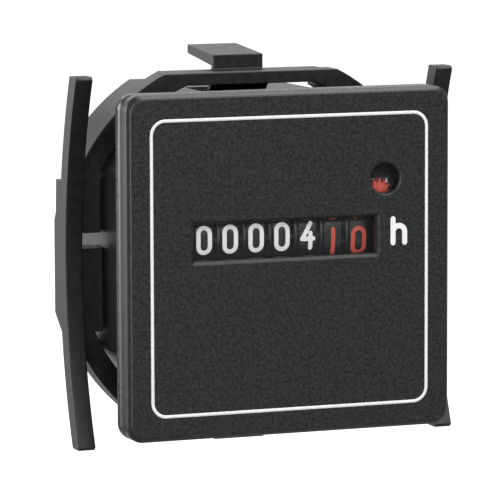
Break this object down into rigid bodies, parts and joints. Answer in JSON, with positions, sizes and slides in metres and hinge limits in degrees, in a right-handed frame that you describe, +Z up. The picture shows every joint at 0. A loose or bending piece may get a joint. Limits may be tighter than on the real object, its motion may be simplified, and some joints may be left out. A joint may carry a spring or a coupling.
{
  "type": "hour meter",
  "caption": "Square panel hour meter with a row of number wheels, a turning star indicator, a black housing and a ratchet clamp whose bowed arms press on the panel.",
  "frame": {"origin": "centre of the plane where the flange's rear face meets the panel", "axes": "+X to the viewer's right, +Y into the panel, +Z up"},
  "size_m": [0.0566, 0.0415, 0.0572],
  "materials": {
    "cover_black": "fine-grained matt black moulding",
    "housing_black": "satin black moulding",
    "clamp_black": "satin black moulding",
    "pane_clear": "clear moulding",
    "frame_steel": "zinc-plated sheet steel",
    "shaft_steel": "ground steel",
    "wheel_black": "black moulding",
    "gear_white": "natural moulding",
    "star_red": "red moulding",
    "pillar_brass": "turned",
    "terminal_brass": "tinned brass",
    "coil_copper": "enamelled wire",
    "magnet_ferrite": "ferrite",
    "board_laminate": "paper laminate",
    "resistor_tan": "lacquered"
  },
  "bodies": {
    "meter": {"housing": "housing_black", "front_cover": "cover_black", "window_pane": "pane_clear", "counter_frame": "frame_steel", "wheel_shaft": "shaft_steel", "pinion_shaft": "shaft_steel", "gear_pins": "shaft_steel", "frame_pillars": "pillar_brass", "motor_plate": "frame_steel", "stator_cup": "frame_steel", "coil_bobbin": "gear_white", "coil_winding": "coil_copper", "rotor_pin": "shaft_steel", "terminal_left": "terminal_brass", "terminal_right": "terminal_brass", "supply_board": "board_laminate", "series_resistor": "resistor_tan"},
    "clamp": {"mounting_clamp": "clamp_black"},
    "rotor": {"rotor_magnet": "magnet_ferrite", "rotor_pinion": "gear_white"},
    "first_gear": {"first_gear": "gear_white"},
    "second_gear": {"second_gear": "gear_white"},
    "indicator": {"indicator_arbor": "shaft_steel", "indicator_star": "star_red", "worm": "gear_white", "arbor_gear": "gear_white"},
    "wheel_ten_thousands": {"wheel_ten_thousands": "wheel_black"},
    "wheel_thousands": {"wheel_thousands": "wheel_black"},
    "wheel_hundreds": {"wheel_hundreds": "wheel_black"},
    "wheel_tens": {"wheel_tens": "wheel_black"},
    "wheel_units": {"wheel_units": "wheel_black"},
    "wheel_tenths": {"wheel_tenths": "wheel_black"},
    "wheel_hundredths": {"wheel_hundredths": "wheel_black"},
    "pinion_1": {"pinion_1": "gear_white"},
    "pinion_2": {"pinion_2": "gear_white"},
    "pinion_3": {"pinion_3": "gear_white"},
    "pinion_4": {"pinion_4": "gear_white"},
    "pinion_5": {"pinion_5": "gear_white"},
    "pinion_6": {"pinion_6": "gear_white"}
  },
  "joints": [
    {"name": "clamp_slide", "type": "slide", "parent": "meter", "child": "clamp", "axis": [0, 1, 0], "range_m": [-0.0024, 0.0148]},
    {"name": "rotor_spin", "type": "hinge", "parent": "meter", "child": "rotor", "pos_m": [0.00002, 0.023, -0.00273], "axis": [0, 1, 0], "continuous": true},
    {"name": "first_gear_spin", "type": "hinge", "parent": "meter", "child": "first_gear", "pos_m": [-0.00459, 0.017, 0.00786], "axis": [0, 1, 0], "continuous": true},
    {"name": "second_gear_spin", "type": "hinge", "parent": "meter", "child": "second_gear", "pos_m": [0.00697, 0.017, 0.00786], "axis": [0, 1, 0], "continuous": true},
    {"name": "indicator_spin", "type": "hinge", "parent": "meter", "child": "indicator", "pos_m": [0.01455, 0.007, 0.0092], "axis": [0, 1, 0], "continuous": true},
    {"name": "wheel_ten_thousands_spin", "type": "hinge", "parent": "meter", "child": "wheel_ten_thousands", "pos_m": [-0.01176, 0.0057, 0.0034], "axis": [1, 0, 0], "continuous": true},
    {"name": "wheel_thousands_spin", "type": "hinge", "parent": "meter", "child": "wheel_thousands", "pos_m": [-0.0079, 0.0057, 0.0034], "axis": [1, 0, 0], "continuous": true},
    {"name": "wheel_hundreds_spin", "type": "hinge", "parent": "meter", "child": "wheel_hundreds", "pos_m": [-0.00405, 0.0057, 0.0034], "axis": [1, 0, 0], "continuous": true},
    {"name": "wheel_tens_spin", "type": "hinge", "parent": "meter", "child": "wheel_tens", "pos_m": [-0.0002, 0.0057, 0.0034], "axis": [1, 0, 0], "continuous": true},
    {"name": "wheel_units_spin", "type": "hinge", "parent": "meter", "child": "wheel_units", "pos_m": [0.00365, 0.0057, 0.0034], "axis": [1, 0, 0], "continuous": true},
    {"name": "wheel_tenths_spin", "type": "hinge", "parent": "meter", "child": "wheel_tenths", "pos_m": [0.0075, 0.0057, 0.0034], "axis": [1, 0, 0], "continuous": true},
    {"name": "wheel_hundredths_spin", "type": "hinge", "parent": "meter", "child": "wheel_hundredths", "pos_m": [0.01136, 0.0057, 0.0034], "axis": [1, 0, 0], "continuous": true},
    {"name": "pinion_1_spin", "type": "hinge", "parent": "meter", "child": "pinion_1", "pos_m": [-0.01011, 0.00759, -0.00679], "axis": [1, 0, 0], "continuous": true},
    {"name": "pinion_2_spin", "type": "hinge", "parent": "meter", "child": "pinion_2", "pos_m": [-0.00626, 0.00759, -0.00679], "axis": [1, 0, 0], "continuous": true},
    {"name": "pinion_3_spin", "type": "hinge", "parent": "meter", "child": "pinion_3", "pos_m": [-0.00241, 0.00759, -0.00679], "axis": [1, 0, 0], "continuous": true},
    {"name": "pinion_4_spin", "type": "hinge", "parent": "meter", "child": "pinion_4", "pos_m": [0.00145, 0.00759, -0.00679], "axis": [1, 0, 0], "continuous": true},
    {"name": "pinion_5_spin", "type": "hinge", "parent": "meter", "child": "pinion_5", "pos_m": [0.0053, 0.00759, -0.00679], "axis": [1, 0, 0], "continuous": true},
    {"name": "pinion_6_spin", "type": "hinge", "parent": "meter", "child": "pinion_6", "pos_m": [0.00915, 0.00759, -0.00679], "axis": [1, 0, 0], "continuous": true}
  ],
  "couplings": [
    {"joint": "first_gear_spin", "follows": "rotor_spin", "ratio": -0.2},
    {"joint": "second_gear_spin", "follows": "rotor_spin", "ratio": 0.04},
    {"joint": "indicator_spin", "follows": "rotor_spin", "ratio": -0.013333},
    {"joint": "wheel_ten_thousands_spin", "follows": "rotor_spin", "ratio": -0.00000000066667},
    {"joint": "wheel_thousands_spin", "follows": "rotor_spin", "ratio": -0.0000000066667},
    {"joint": "wheel_hundreds_spin", "follows": "rotor_spin", "ratio": -0.000000066667},
    {"joint": "wheel_tens_spin", "follows": "rotor_spin", "ratio": -0.00000066667},
    {"joint": "wheel_units_spin", "follows": "rotor_spin", "ratio": -0.0000066667},
    {"joint": "wheel_tenths_spin", "follows": "rotor_spin", "ratio": -0.000066667},
    {"joint": "wheel_hundredths_spin", "follows": "rotor_spin", "ratio": -0.00066667},
    {"joint": "pinion_1_spin", "follows": "rotor_spin", "ratio": 0.0000000016667},
    {"joint": "pinion_2_spin", "follows": "rotor_spin", "ratio": 0.000000016667},
    {"joint": "pinion_3_spin", "follows": "rotor_spin", "ratio": 0.00000016667},
    {"joint": "pinion_4_spin", "follows": "rotor_spin", "ratio": 0.0000016667},
    {"joint": "pinion_5_spin", "follows": "rotor_spin", "ratio": 0.000016667},
    {"joint": "pinion_6_spin", "follows": "rotor_spin", "ratio": 0.00016667}
  ]
}
